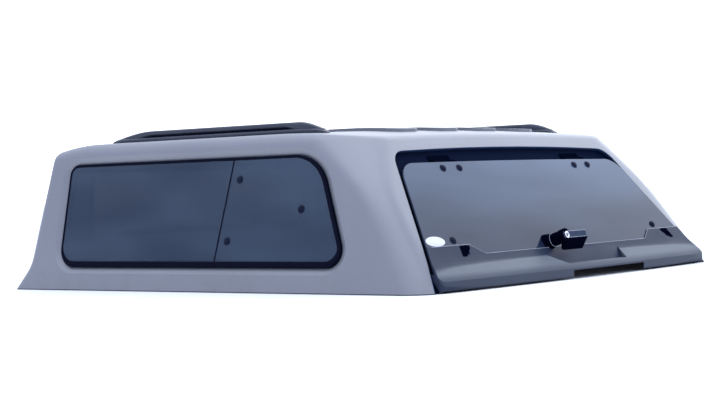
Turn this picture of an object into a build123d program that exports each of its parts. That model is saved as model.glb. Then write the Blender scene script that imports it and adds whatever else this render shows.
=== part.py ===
from build123d import *
from math import cos, radians, sin, tan
import os

# Moulded canopy for the bed of a double-cab pickup, in millimetres.
# +X is the vehicle's right, +Y points at the cab, +Z is up, z = 0 is the plane of the bed rails.

os.makedirs("parts", exist_ok=True)

# Body
base_length = 1695.0
base_width = 1700.0
edge_height = 466.0
crown_rise = 12.0
wall = 5.0
side_lean = 12.4
front_rake = 7.3
rear_rake = 35.0
flare_height = 77.0
flare_reach = 58.0
flare_round = 90.0
front_corner = 45.0
rear_corners = ((0.0, 92.0), (200.0, 78.0), (255.0, 79.0), (305.0, 92.0), (355.0, 120.0),
                (405.0, 155.0), (580.0, 280.0))
roof_edge = 44.0
droop_start = 305.0
droop_radius = 800.0
tail_start = 615.0
tail_radius = 2000.0
nose_arc = 25.0
tail_arc = 10.0
cut_margin = 85.0
rear_reach = 25.0

# Roof ribs
rib_count = 4
rib_width = 150.0
rib_gap = 70.0
rib_height = 10.0
rib_front = 370.0
rib_length = 900.0
rib_corner = 45.0

# Base flange and its seal
flange_width = 45.0
seal_thickness = 8.0
seal_width = 26.0

# Side windows, measured up the leaning side and back from the front tip
window_front = 210.0
window_low = 77.0
window_high = 413.0
window_rear_low = 1401.0
window_rear_high = 1264.0
window_radii = (34.0, 65.0, 50.0, 140.0)
window_recess = 14.0
window_bevel = 22.0
window_ledge = 26.0
gasket_band = 9.0
gasket_bed = 3.0
pane_thickness = 5.0
split_high = 939.0
split_low = 881.0
split_gap = 6.0
button_radius = 12.0
button_height = 5.5
upper_hinge = (961.0, 344.0)
lower_hinge = (936.0, 157.0)
pane_latch = (1214.0, 250.0)

# Front window
front_glass_width = 1120.0
front_glass_height = 220.0
front_glass_mid = 275.0
front_glass_corner = 50.0
rubber_lip = 8.0
rubber_proud = 4.0

# Rear opening and door, measured up the raked rear face
pillar_low = 53.0
pillar_high = 241.0
opening_top = 491.0
opening_crown = 14.0
opening_corner = 75.0
rebate_depth = 16.0
frame_side = 30.0
frame_top = 77.0
glass_proud = 5.0
glass_thickness = 5.0
door_gap = 12.0
door_top = 443.0
door_crown = 4.0
door_corner = 90.0
door_glass_low = 67.0
door_seal_width = 12.0
door_seal_low = 39.0
seal_touch = 0.5

# Door hinges
hinge_x = 375.0
hinge_length = 110.0
hinge_rise = 12.0
hinge_depth = 12.0
knuckle_radius = 6.0
pin_radius = 3.0
pin_clearance = 0.1
knuckle_gap = 1.0
leaf_thickness = 4.0
strap_drop = 52.0
leaf_rise = 27.0
hinge_bolt_spacing = 85.0
hinge_bolt_v = 422.0

# Lip under the glass
lip_side = 32.0
lip_bow = 24.0
lip_back = 14.0
lip_top = 92.0
ear_top = 121.0
ear_half = 525.0
ear_foot_half = 470.0
ledge_inner = 81.0
ledge_outer = 47.0
lip_low = 4.0
lip_wall = 4.0
lip_back_wall = 12.0
lip_gap = 7.0
ledge_round = 14.0
lip_round = 6.0
lip_bolt_x = 585.0
lip_bolt_z = 137.0
scoop_left = -190.0
scoop_right = 270.0
scoop_left_slant = 90.0
scoop_right_slant = 50.0
lip_corner = 14.0
slot_x = (-553.0, 627.0)
slot_z = (116.0, 95.0)
slot_radii = (11.0, 4.0)
slot_depth = 2.5
notch_left = -120.0
notch_right = 320.0
notch_rise = 23.0

# Door handle
handle_x = -112.0
handle_z = 108.0
handle_tilt = 19.0
wedge_taper = 12.0
collar_radius = 22.0
barrel_radius = 20.0
base_reach = 20.0
barrel_reach = 52.0
grip_reach = 76.0
grip_length = 113.0
key_radius = 11.5
key_proud = 2.0
lever_high = 12.0
lever_low = -12.0
lever_back = 54.0
hook_tip = -42.0
hook_heel = -32.0
hook_front = 42.0
hook_rear = 37.0
spindle_radius = 8.0
spindle_hole = 12.0
spindle_reach = 22.0
case_length = 120.0
case_height = 56.0
case_depth = 26.0
turn_gap = 0.5

# Roof rails
rail_inset = 107.5
rail_front = 275.0
rail_length = 930.0
rail_width = 36.0
rail_height = 34.0
rail_bar = 17.0
rail_strip = 13.0
bar_width = 25.0
strip_end = 17.0
rail_round = 5.0
rail_shoulder = 0.5
rail_front_taper = 150.0
rail_rear_taper = 90.0
rail_kink = 0.33
slot_rear_slant = 45.0
slot_front_slant = 30.0
slot_front = 75.0

# Places worked out from the sizes above
half_width = base_width / 2
front = (base_length + rear_reach) / 2
rear = front - base_length
lean = radians(side_lean)
rake = radians(rear_rake)
above = 1.25 * edge_height
below = -0.13 * edge_height
front_wall = front - flare_reach
droop_y = front - droop_start
tail_y = rear + tail_start
roof_half = half_width - edge_height * tan(lean)
opening_base_half = half_width - pillar_low
opening_top_half = half_width - pillar_high
lip_half_width = opening_base_half - lip_side

side_plane = Plane(origin=(half_width, 0, 0), x_dir=(0, 1, 0), z_dir=(cos(lean), 0, sin(lean)))
rear_plane = Plane(origin=(0, rear, 0), x_dir=(1, 0, 0), z_dir=(0, -cos(rake), sin(rake)))
glass_plane = rear_plane.offset(glass_proud)
front_tilt = radians(front_rake)
front_plane = Plane(
    origin=(0, front_wall, flare_height),
    x_dir=(-1, 0, 0),
    z_dir=(0, cos(front_tilt), sin(front_tilt)),
)


def save(piece, name):
    """Label one finished piece and write it to its own file."""
    piece.part.label = name
    export_step(piece.part, f"parts/{name}.step")


def mirrored(piece):
    """The same piece on the vehicle's left side."""
    with BuildPart() as twin:
        mirror(piece.part, about=Plane.YZ)
    return twin


# The outer form of the body

def roof_section(inset):
    """The region above the roof in a cross plane, with the roof crowned across."""
    side = half_width + cut_margin
    edge = edge_height - inset
    low_edge = edge - 2 * crown_rise * (side - roof_half) / roof_half
    with BuildSketch() as section:
        with BuildLine():
            ThreePointArc((-roof_half, edge), (0, edge + crown_rise), (roof_half, edge))
            Polyline((roof_half, edge), (side, low_edge), (side, 2 * above), (-side, 2 * above),
                     (-side, low_edge), (-roof_half, edge))
        make_face()
    return section.sketch


def roof_cut(inset):
    """Everything above the roof: crowned across, level along, drooping at both ends."""
    with BuildPart() as cut:
        with BuildSketch(Plane.XZ.offset(-droop_y)) as nose:
            add(roof_section(inset))
        extrude(amount=droop_y - tail_y)
        revolve(nose.sketch, axis=Axis((0, droop_y, edge_height - droop_radius), (-1, 0, 0)),
                revolution_arc=nose_arc)
        with BuildSketch(Plane.XZ.offset(-tail_y)):
            add(roof_section(inset))
        revolve(axis=Axis((0, tail_y, edge_height - tail_radius), (1, 0, 0)), revolution_arc=tail_arc)
    return cut.part


def side_walls(inset, low):
    """The mass between the leaning sides and the raked rear, its rear corners rounder higher up."""
    with BuildPart() as walls:
        for height, radius in rear_corners:
            z = height if height else low
            half = half_width - inset / cos(lean) - z * tan(lean)
            back = rear + inset / cos(rake) + z * tan(rake)
            with BuildSketch(Plane.XY.offset(z)) as plan:
                with BuildLine():
                    Polyline((-half, base_length), (-half, back), (half, back), (half, base_length),
                             close=True)
                make_face()
                fillet(plan.vertices().group_by(Axis.Y)[0], max(radius - inset, wall))
        loft(ruled=True)
    return walls.part


def body_form(inset, low=0.0):
    """The body's outer form moved inward by inset and taken down to the height low."""
    shift_front = inset / cos(front_tilt)
    with BuildPart() as form:
        with BuildSketch(Plane.YZ) as profile:
            kink = (front_wall - shift_front, flare_height)
            wall_high = (kink[0] - (above - flare_height) * tan(front_tilt), above)
            tip = (front - shift_front, 0)
            with BuildLine():
                Polyline(tip, kink, wall_high, (-base_length, above), (-base_length, low),
                         (tip[0], low))
                if low < 0:
                    Line((tip[0], low), tip)
            make_face()
            fillet(profile.vertices().sort_by_distance(kink)[0], flare_round)
        extrude(amount=half_width + wall, both=True)
        add(side_walls(inset, low), mode=Mode.INTERSECT)
        corners = form.edges().filter_by(lambda e: abs(e.center().X) > half_width / 2)
        corners = corners.filter_by(lambda e: e.center().Y > front_wall - above / 2)
        corners = corners.filter_by(lambda e: e.bounding_box().size.Z > flare_height / 2)
        fillet(corners, max(front_corner - inset, wall))
        add(roof_cut(inset), mode=Mode.SUBTRACT)
        if roof_edge > inset:
            roof = form.faces().filter_by(lambda f: f.normal_at().Z > cos(rake))
            rim = roof.edges().filter_by(lambda e: abs(e.center().Y - droop_y) > wall)
            rim = rim.filter_by(lambda e: abs(e.center().Y - tail_y) > wall)
            fillet(rim, roof_edge - inset)
    return form.part


# Outlines of the openings

def window_face(grow):
    """The side window: a long outline with a different radius at each corner."""
    corners = (
        (front - window_front, window_high),
        (front - window_front, window_low),
        (front - window_rear_low, window_low),
        (front - window_rear_high, window_high),
    )
    with BuildSketch() as face:
        with BuildLine():
            Polyline(*corners, close=True)
        make_face()
        for corner, radius in zip(corners, window_radii):
            fillet(face.vertices().sort_by_distance(corner)[0], radius)
        if grow:
            offset(amount=grow)
    return face.sketch


def front_window_face(grow):
    """The front window: a rounded rectangle."""
    with BuildSketch() as face:
        with Locations((0, (front_glass_mid - flare_height) / cos(front_tilt))):
            RectangleRounded(front_glass_width + 2 * grow, front_glass_height + 2 * grow,
                             front_glass_corner + grow)
    return face.sketch


def opening_half(v):
    """Half the width of the rear opening at the distance v up the rear face."""
    return opening_base_half - (opening_base_half - opening_top_half) * v / opening_top


def door_face(side, top, crown, corner, low):
    """An outline on the rear face: straight leaning sides, a crowned top and round top corners."""
    with BuildSketch() as face:
        with BuildLine():
            low_half = opening_half(low) - side
            top_half = opening_half(top) - side
            ThreePointArc((-top_half, top), (0, top + crown), (top_half, top))
            Polyline((top_half, top), (low_half, low), (-low_half, low), (-top_half, top))
        make_face()
        fillet(face.vertices().group_by(Axis.Y)[-1], corner)
    return face.sketch


def opening_face(grow):
    """The rear opening grown by grow, reaching below the base."""
    return door_face(-grow, opening_top + grow, opening_crown, opening_corner + grow, below)


def doorway_face():
    """The way in through the frame that the door closes on."""
    return door_face(frame_side, opening_top - frame_top, opening_crown, opening_corner, below)


# Shell: one moulding with its window ledges, rear frame and base flange

outer = body_form(0.0)
inner = body_form(wall, below)

with BuildPart() as flange:
    with BuildSketch(Plane.XY.offset(seal_thickness)):
        Rectangle(2 * base_width, 2 * base_length)
    extrude(amount=wall)
    add(body_form(flange_width, below), mode=Mode.SUBTRACT)

with BuildPart() as linings:
    with BuildSketch(side_plane):
        add(window_face(window_bevel + wall))
    extrude(amount=-(window_recess + wall))
    mirror(about=Plane.YZ)
    with BuildSketch(rear_plane):
        add(opening_face(wall))
    extrude(amount=-(rebate_depth + wall))
    add(flange.part)
    add(outer, mode=Mode.INTERSECT)

with BuildPart() as side_pocket:
    with BuildSketch(side_plane):
        add(window_face(window_bevel))
    with BuildSketch(side_plane.offset(-window_recess)):
        add(window_face(0))
    loft()
    with BuildSketch(side_plane):
        add(window_face(-window_ledge))
    extrude(amount=-3 * window_recess)
    mirror(about=Plane.YZ)

with BuildPart() as rear_pocket:
    with BuildSketch(rear_plane):
        add(opening_face(0))
    extrude(amount=-rebate_depth)
    with BuildSketch(rear_plane):
        add(doorway_face())
    extrude(amount=-base_length / 8)

with BuildPart() as front_hole:
    with BuildSketch(front_plane):
        add(front_window_face(0))
    extrude(amount=2 * wall, both=True)

with BuildPart() as rib_pads:
    with BuildSketch(Plane.XY.offset(edge_height - roof_edge)):
        with Locations((0, front - rib_front - rib_length / 2)):
            with GridLocations(rib_width + rib_gap, 0, rib_count, 1):
                RectangleRounded(rib_width, rib_length, rib_corner)
    extrude(amount=roof_edge + crown_rise + rib_height)
    add(roof_cut(-rib_height), mode=Mode.SUBTRACT)
    add(outer, mode=Mode.SUBTRACT)

with BuildPart() as shell:
    add(outer)
    add(inner, mode=Mode.SUBTRACT)
    add(linings.part)
    add(rib_pads.part)
    add(side_pocket.part, mode=Mode.SUBTRACT)
    add(rear_pocket.part, mode=Mode.SUBTRACT)
    add(front_hole.part, mode=Mode.SUBTRACT)
save(shell, "shell")

# Seal under the base flange

with BuildPart() as base_seal:
    with BuildSketch():
        Rectangle(2 * base_width, 2 * base_length)
    extrude(amount=seal_thickness)
    add(body_form(2 * wall), mode=Mode.INTERSECT)
    add(body_form(2 * wall + seal_width, below), mode=Mode.SUBTRACT)
    add(linings.part, mode=Mode.SUBTRACT)
    add(rear_pocket.part, mode=Mode.SUBTRACT)
save(base_seal, "base_seal")


# Side windows, made on the right and mirrored

ledge_plane = side_plane.offset(-window_recess)
bed_plane = ledge_plane.offset(gasket_bed)
pane_plane = bed_plane.offset(pane_thickness)

with BuildPart() as right_gasket:
    with BuildSketch(ledge_plane):
        add(window_face(0))
        add(window_face(-window_ledge), mode=Mode.SUBTRACT)
    extrude(amount=gasket_bed + pane_thickness)
    with BuildSketch(bed_plane):
        add(window_face(-gasket_band))
    extrude(amount=pane_thickness, mode=Mode.SUBTRACT)


def split_sketch(forward):
    """The half of the window plane ahead of, or behind, the line between the two panes."""
    gap = split_gap / 2 if forward else -split_gap / 2
    far = window_rear_low if forward else -window_rear_low
    low = (front - split_low + gap, 0)
    high = (front - split_high + gap, window_high + window_low)
    with BuildSketch() as half:
        with BuildLine():
            Polyline(low, high, (high[0] + far, high[1]), (low[0] + far, low[1]), close=True)
        make_face()
    return half.sketch


def pane(forward):
    """One pane of the side window, lying on its bed."""
    with BuildPart() as glass:
        with BuildSketch(bed_plane):
            add(window_face(-gasket_band))
            add(split_sketch(forward), mode=Mode.INTERSECT)
        extrude(amount=pane_thickness)
    return glass


right_front_pane = pane(True)
right_rear_pane = pane(False)

with BuildPart() as right_divider:
    with BuildSketch(bed_plane):
        add(window_face(-gasket_band))
        add(split_sketch(True), mode=Mode.SUBTRACT)
        add(split_sketch(False), mode=Mode.SUBTRACT)
    extrude(amount=pane_thickness)

cap_places = [(front - back, up) for back, up in (upper_hinge, lower_hinge, pane_latch)]

with BuildPart() as right_pane_caps:
    with BuildSketch(pane_plane):
        with Locations(*cap_places):
            Circle(button_radius)
    extrude(amount=button_height)
    outward = Axis(side_plane.origin, side_plane.z_dir)
    chamfer(right_pane_caps.edges().group_by(outward)[-1], button_height / 2)

for name, piece in (
    ("gasket", right_gasket),
    ("front_pane", right_front_pane),
    ("rear_pane", right_rear_pane),
    ("pane_divider", right_divider),
    ("pane_caps", right_pane_caps),
):
    save(piece, "right_" + name)
    save(mirrored(piece), "left_" + name)


# Front window, held in a rubber section that grips the wall's edge

with BuildPart() as front_gasket:
    with BuildSketch(front_plane.offset(rubber_proud)):
        add(front_window_face(rubber_lip))
    extrude(amount=-rubber_proud)
    with BuildSketch(front_plane):
        add(front_window_face(0))
    extrude(amount=-wall)
    with BuildSketch(front_plane.offset(-wall)):
        add(front_window_face(rubber_lip))
    extrude(amount=-rubber_proud)
    with BuildSketch(front_plane):
        add(front_window_face(-rubber_lip))
    extrude(amount=2 * (wall + rubber_proud), both=True, mode=Mode.SUBTRACT)
save(front_gasket, "front_gasket")

with BuildPart() as front_glass:
    with BuildSketch(front_plane):
        add(front_window_face(-rubber_lip))
    extrude(amount=-pane_thickness)
save(front_glass, "front_glass")


# Roof rails: a strip on the roof and a bar that rises from it at both ends

rail_x = roof_half - rail_inset
rail_rear = front - rail_front - rail_length
rail_plane = Plane.YZ.offset(rail_x)
roof_z = edge_height + crown_rise * (1 - (rail_x / roof_half) ** 2)

with BuildPart() as right_rail_strip:
    with BuildSketch(Plane.XY.offset(roof_z - rail_height)):
        with Locations((rail_x, rail_rear + rail_length / 2)):
            RectangleRounded(rail_width, rail_length, strip_end)
    extrude(amount=2 * rail_height)
    add(roof_cut(-rail_strip), mode=Mode.SUBTRACT)
    add(roof_cut(0), mode=Mode.INTERSECT)

with BuildPart() as right_rail_bar:
    with BuildSketch(rail_plane):
        low = roof_z - rail_strip
        foot = roof_z + rail_strip
        high = roof_z + rail_height
        shoulder = foot + rail_shoulder * (high - foot)
        back = rail_rear + rail_width / 2
        ahead = back + rail_length - rail_width
        with BuildLine():
            Polyline((back, low), (back, foot), (back + rail_kink * rail_rear_taper, shoulder),
                     (back + rail_rear_taper, high), (ahead - rail_front_taper, high),
                     (ahead - rail_kink * rail_front_taper, shoulder), (ahead, foot),
                     (ahead, low), close=True)
        make_face()
        with BuildLine():
            slot_top = high - rail_bar
            Polyline((back + rail_rear_taper, foot), (back + rail_rear_taper + slot_rear_slant, slot_top),
                     (ahead - rail_front_taper - slot_front_slant, slot_top), (ahead - slot_front, foot),
                     (ahead - slot_front, low), (back + rail_rear_taper, low), close=True)
        make_face(mode=Mode.SUBTRACT)
    extrude(amount=bar_width / 2, both=True)
    add(outer, mode=Mode.SUBTRACT)
    add(right_rail_strip.part, mode=Mode.SUBTRACT)
    fillet(right_rail_bar.edges().filter_by(Axis.Y).group_by(Axis.Z)[-1], rail_round)

for name, piece in (("rail_strip", right_rail_strip), ("rail_bar", right_rail_bar)):
    save(piece, "right_" + name)
    save(mirrored(piece), "left_" + name)


# Rear door: a frameless pane hinged at its top edge

def door_glass_face(grow, low):
    """The outline of the door's glass grown by grow."""
    return door_face(door_gap - grow, door_top + grow, door_crown, door_corner + grow, low)


handle_v = handle_z / cos(rake)
handle_origin = glass_plane.from_local_coords((handle_x, handle_v, 0))
tilt = radians(handle_tilt)
handle_plane = Plane(origin=handle_origin, x_dir=(1, 0, 0), z_dir=(0, -cos(tilt), sin(tilt)))

with BuildPart() as door_seal:
    with BuildSketch(rear_plane.offset(-rebate_depth)):
        add(door_face(door_gap + door_seal_width / 2, door_top - door_seal_width / 2, door_crown,
                      door_corner, door_seal_low))
        add(door_face(door_gap + 1.5 * door_seal_width, door_top - 1.5 * door_seal_width, door_crown,
                      door_corner - door_seal_width, below), mode=Mode.SUBTRACT)
    extrude(amount=rebate_depth + glass_proud - glass_thickness - seal_touch)
    with BuildSketch(glass_plane.offset(-glass_thickness)):
        with Locations((-hinge_x, door_top), (hinge_x, door_top)):
            Rectangle(hinge_length + 2 * knuckle_gap, 2 * strap_drop)
    extrude(amount=-leaf_thickness - knuckle_gap, mode=Mode.SUBTRACT)
save(door_seal, "door_seal")

with BuildPart() as door_glass:
    with BuildSketch(glass_plane):
        add(door_glass_face(0, door_glass_low))
    extrude(amount=-glass_thickness)
    with BuildSketch(handle_plane):
        Circle(spindle_hole)
    extrude(amount=4 * glass_thickness, both=True, mode=Mode.SUBTRACT)
save(door_glass, "door_glass")


# Door hinges

hinge_v = door_top + hinge_rise
hinge_plane = Plane(
    origin=glass_plane.from_local_coords((0, hinge_v, -hinge_depth)),
    x_dir=(0, -cos(rake), sin(rake)),
    z_dir=(-1, 0, 0),
)


def hinge_middle(side):
    """The plane across the middle of one hinge, square to its pin."""
    return hinge_plane.offset(-side * hinge_x)


def hinge_base(side):
    """Fixed leaf on the frame above the glass, with the middle knuckle and the pin."""
    third = hinge_length / 3
    floor = glass_proud + rebate_depth - hinge_depth
    with BuildPart() as leaf:
        with BuildSketch(hinge_middle(side)):
            Circle(knuckle_radius)
            with BuildLine():
                Polyline((-floor, 0), (-floor, leaf_rise), (-floor + leaf_thickness, leaf_rise),
                         (-floor + leaf_thickness, knuckle_radius / 2), (0, knuckle_radius),
                         (0, 0), close=True)
            make_face()
        extrude(amount=third / 2, both=True)
        with BuildSketch(hinge_middle(side)):
            with Locations((-floor + leaf_thickness / 2, leaf_rise / 2 + knuckle_radius / 2 + knuckle_gap)):
                Rectangle(leaf_thickness, leaf_rise - knuckle_radius - 2 * knuckle_gap)
        extrude(amount=hinge_length / 2, both=True)
        with BuildSketch(hinge_middle(side)):
            Circle(pin_radius)
        extrude(amount=hinge_length / 2, both=True)
    return leaf


def hinge_strap(side):
    """Moving leaf: two outer knuckles and a plate behind the glass."""
    third = hinge_length / 3
    face = hinge_depth - glass_thickness
    with BuildPart() as leaf:
        with BuildSketch(hinge_middle(side)):
            Circle(knuckle_radius)
            with BuildLine():
                Polyline((face, 0), (face, -strap_drop), (face - leaf_thickness, -strap_drop),
                         (face - leaf_thickness, -knuckle_radius), (-knuckle_radius, 0), close=True)
            make_face()
        extrude(amount=hinge_length / 2, both=True)
        with BuildSketch(hinge_middle(side)):
            Circle(pin_radius + pin_clearance)
        extrude(amount=hinge_length, both=True, mode=Mode.SUBTRACT)
        with BuildSketch(hinge_middle(side)):
            Circle(knuckle_radius + 2 * knuckle_gap)
        extrude(amount=third / 2 + knuckle_gap, both=True, mode=Mode.SUBTRACT)
    return leaf


for name, side in (("right", 1), ("left", -1)):
    save(hinge_base(side), f"{name}_hinge_base")
    save(hinge_strap(side), f"{name}_hinge_strap")

with BuildPart() as door_caps:
    with BuildSketch(glass_plane):
        with Locations((-hinge_x, hinge_bolt_v), (hinge_x, hinge_bolt_v)):
            with GridLocations(hinge_bolt_spacing, 0, 2, 1):
                Circle(button_radius)
        with Locations((-lip_bolt_x, lip_bolt_z / cos(rake)), (lip_bolt_x, lip_bolt_z / cos(rake))):
            Circle(button_radius)
    extrude(amount=button_height)
    out = Axis(glass_plane.origin, glass_plane.z_dir)
    chamfer(door_caps.edges().group_by(out)[-1], button_height / 2)
save(door_caps, "door_caps")


# Lip: a hollow moulding below the glass, bowed in plan

lip_face = rear - rear_reach
glass_low_z = door_glass_low * cos(rake) - 2
lip_skin = lip_wall / cos(rake)


def glass_y(z):
    """The outer face of the glass at the height z."""
    return glass_plane.origin.Y + (z - glass_plane.origin.Z) * tan(rake)


def lip_form(t, low, end):
    """The lip's mass moved inward by t, down to the height low and out to x = end."""
    back = t * lip_back_wall / lip_wall
    with BuildPart() as mass:
        for x in (-end, -end / 2, 0, end / 2, end):
            face = lip_face + lip_bow * (x / lip_half_width) ** 2 + t
            with BuildSketch(Plane.YZ.offset(x)):
                with BuildLine():
                    Polyline(
                        (glass_y(ledge_inner - t) - lip_skin + t, ledge_inner - t),
                        (face + ledge_round, ledge_outer - t),
                        (face, ledge_outer - ledge_round),
                        (face, low + lip_round),
                        (face + lip_round, low),
                        (glass_y(low) + lip_back + back, low),
                        (glass_y(glass_low_z) + lip_back + back, glass_low_z - t),
                        (glass_y(glass_low_z) + back, glass_low_z - t),
                        (glass_y(ledge_inner - t) + back, ledge_inner - t),
                        close=True,
                    )
                make_face()
        loft()
    return mass.part


def scoop(t):
    """The finger room over the lip's ledge, grown by t."""
    shelf = ledge_outer - t
    with BuildPart() as room:
        with BuildSketch(Plane.YZ.offset(scoop_left - t)):
            with BuildLine():
                Polyline(
                    (glass_y(shelf) - lip_skin + t, shelf),
                    (glass_y(2 * lip_top) - lip_skin + t, 2 * lip_top),
                    (lip_face - ledge_round, 2 * lip_top),
                    (lip_face - ledge_round, shelf),
                    close=True,
                )
            make_face()
        extrude(amount=scoop_right - scoop_left + 2 * t)
        with BuildSketch():
            with BuildLine():
                inner_y = glass_y(ledge_inner)
                Polyline((scoop_left - t, inner_y), (scoop_right + t, inner_y),
                         (scoop_right - scoop_right_slant + t, lip_face),
                         (scoop_left + scoop_left_slant - t, lip_face), close=True)
            make_face()
        extrude(amount=above, mode=Mode.INTERSECT)
    return room.part


def lip_plan(t):
    """The lip's plan outline moved inward by t, with round corners at its ends."""
    half = lip_half_width + lip_gap - t
    bow = lip_face + t
    with BuildSketch() as plan:
        with BuildLine():
            ThreePointArc((-half, bow + lip_bow), (0, bow - lip_round), (half, bow + lip_bow))
            Polyline((half, bow + lip_bow), (half, 0), (-half, 0), (-half, bow + lip_bow))
        make_face()
        fillet(plan.vertices().group_by(Axis.Y)[0], lip_corner - t)
    return plan.sketch


with BuildPart() as lip_ends:
    with BuildSketch(glass_plane.offset(-lip_back)):
        add(opening_face(-lip_gap))
    extrude(amount=base_length / 8)
    with BuildSketch():
        add(lip_plan(0))
    extrude(amount=above, mode=Mode.INTERSECT)

with BuildPart() as lip_hollow:
    add(lip_form(lip_wall, lip_low - lip_round - lip_wall, lip_half_width))
    add(scoop(lip_wall), mode=Mode.SUBTRACT)
    with BuildSketch(glass_plane.offset(-3 * lip_back)):
        add(opening_face(-lip_gap - lip_wall))
    extrude(amount=base_length / 8, mode=Mode.INTERSECT)
    with BuildSketch(Plane.XY.offset(below)):
        add(lip_plan(lip_wall))
    extrude(amount=2 * above, mode=Mode.INTERSECT)

with BuildPart() as door_lip:
    add(lip_form(0, lip_low, lip_half_width + lip_gap))
    add(scoop(0), mode=Mode.SUBTRACT)
    with BuildSketch(glass_plane):
        v_low = ledge_outer / cos(rake)
        v_line = lip_top / cos(rake)
        v_ear = ear_top / cos(rake)
        with BuildLine():
            Polyline((-base_width / 2, v_low), (base_width / 2, v_low), (base_width / 2, v_ear),
                     (ear_half, v_ear), (ear_foot_half, v_line), (-ear_foot_half, v_line),
                     (-ear_half, v_ear), (-base_width / 2, v_ear), close=True)
        make_face()
    extrude(amount=lip_wall)
    add(lip_ends.part, mode=Mode.INTERSECT)
    add(lip_hollow.part, mode=Mode.SUBTRACT)
    with BuildSketch(Plane.XZ.offset(-glass_plane.origin.Y)):
        with Locations(((notch_left + notch_right) / 2, lip_low)):
            Rectangle(notch_right - notch_left, 2 * notch_rise)
    extrude(amount=2 * rear_reach + lip_bow, both=True, mode=Mode.SUBTRACT)
    for x in slot_x:
        with BuildSketch(glass_plane.offset(lip_wall)):
            for z, radius in zip(slot_z, slot_radii):
                with Locations((x, z / cos(rake))):
                    Circle(radius)
            make_hull()
        extrude(amount=-slot_depth, mode=Mode.SUBTRACT)
save(door_lip, "door_lip")


# Door handle: a wedge on the glass, a fixed collar and a lever that turns on a barrel

with BuildPart() as handle_base:
    with BuildSketch(handle_plane.offset(base_reach)):
        Circle(collar_radius)
    extrude(amount=-2 * base_reach, taper=-wedge_taper)
    with BuildSketch(glass_plane):
        Rectangle(base_width, base_length)
    extrude(amount=-base_width / 2, mode=Mode.SUBTRACT)
    with BuildSketch(handle_plane):
        Circle(spindle_radius + turn_gap)
    extrude(amount=2 * base_reach, both=True, mode=Mode.SUBTRACT)
    add(door_lip.part, mode=Mode.SUBTRACT)
save(handle_base, "handle_base")

with BuildPart() as handle_barrel:
    with BuildSketch(handle_plane.offset(base_reach + turn_gap)):
        Circle(barrel_radius)
    extrude(amount=barrel_reach - base_reach - turn_gap)
save(handle_barrel, "handle_barrel")

lever_plane = Plane(origin=handle_plane.origin, x_dir=handle_plane.y_dir, z_dir=(1, 0, 0))

with BuildPart() as handle_grip:
    with BuildSketch(lever_plane):
        with BuildLine():
            Polyline((lever_high, grip_reach), (lever_low, grip_reach), (hook_tip, hook_front),
                     (hook_heel, hook_rear), (lever_high, lever_back), close=True)
        make_face()
    extrude(amount=grip_length)
    with BuildSketch(handle_plane.offset(barrel_reach)):
        Circle(collar_radius)
    extrude(amount=grip_reach - barrel_reach)
    with BuildSketch(handle_plane.offset(barrel_reach)):
        Circle(key_radius)
    extrude(amount=grip_reach, mode=Mode.SUBTRACT)
    add(handle_barrel.part, mode=Mode.SUBTRACT)
save(handle_grip, "handle_grip")

with BuildPart() as handle_key:
    with BuildSketch(handle_plane.offset(barrel_reach)):
        Circle(key_radius)
    extrude(amount=grip_reach - barrel_reach + key_proud)
save(handle_key, "handle_key")

with BuildPart() as handle_spindle:
    with BuildSketch(handle_plane.offset(base_reach + turn_gap)):
        Circle(spindle_radius)
    extrude(amount=-(base_reach + spindle_reach))
save(handle_spindle, "handle_spindle")

with BuildPart() as lock_case:
    with BuildSketch(glass_plane.offset(-glass_thickness)):
        with Locations((handle_x, handle_v)):
            RectangleRounded(case_length, case_height, spindle_radius)
    extrude(amount=-case_depth)
    with BuildSketch(handle_plane):
        Circle(spindle_hole)
    extrude(amount=2 * base_reach, both=True, mode=Mode.SUBTRACT)
save(lock_case, "lock_case")
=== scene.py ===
# %% [markdown]
# Pickup canopy: a moulded fibreglass top with tinted windows, a glass rear door and roof rails.
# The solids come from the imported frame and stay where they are. This file gives them their
# finishes, and adds the rounded pieces that a solid model is clumsy at: rails, caps, beads, lever.
# Everything is in metres: +X is the vehicle's right, +Y points at the cab, +Z is up.

import math

import bpy
import numpy as np
from mathutils import Matrix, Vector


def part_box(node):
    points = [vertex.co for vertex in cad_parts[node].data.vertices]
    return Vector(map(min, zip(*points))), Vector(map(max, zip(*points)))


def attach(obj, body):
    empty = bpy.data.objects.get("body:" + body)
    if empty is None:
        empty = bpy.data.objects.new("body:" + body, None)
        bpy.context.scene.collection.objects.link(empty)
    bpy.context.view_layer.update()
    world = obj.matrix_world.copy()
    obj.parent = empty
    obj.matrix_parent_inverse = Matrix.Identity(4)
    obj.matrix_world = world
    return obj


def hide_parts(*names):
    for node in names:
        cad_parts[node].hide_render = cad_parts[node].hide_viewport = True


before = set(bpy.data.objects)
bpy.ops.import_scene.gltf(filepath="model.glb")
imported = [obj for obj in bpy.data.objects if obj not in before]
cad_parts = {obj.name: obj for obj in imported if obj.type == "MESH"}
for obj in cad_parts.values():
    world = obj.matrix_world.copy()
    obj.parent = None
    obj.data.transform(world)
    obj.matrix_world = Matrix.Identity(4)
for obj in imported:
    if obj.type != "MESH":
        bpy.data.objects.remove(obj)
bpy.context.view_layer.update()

# %% [markdown]
# The camera is a real one turned into numbers: where it stood, its yaw, pitch and roll, and its
# focal length in pixels for an image 718 pixels wide. A Track To constraint could aim it, but the
# real one was held a little crooked, and a constraint keeps no roll. So its three axes are written
# as the columns of a matrix. A Blender camera looks along its own -Z.

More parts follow.
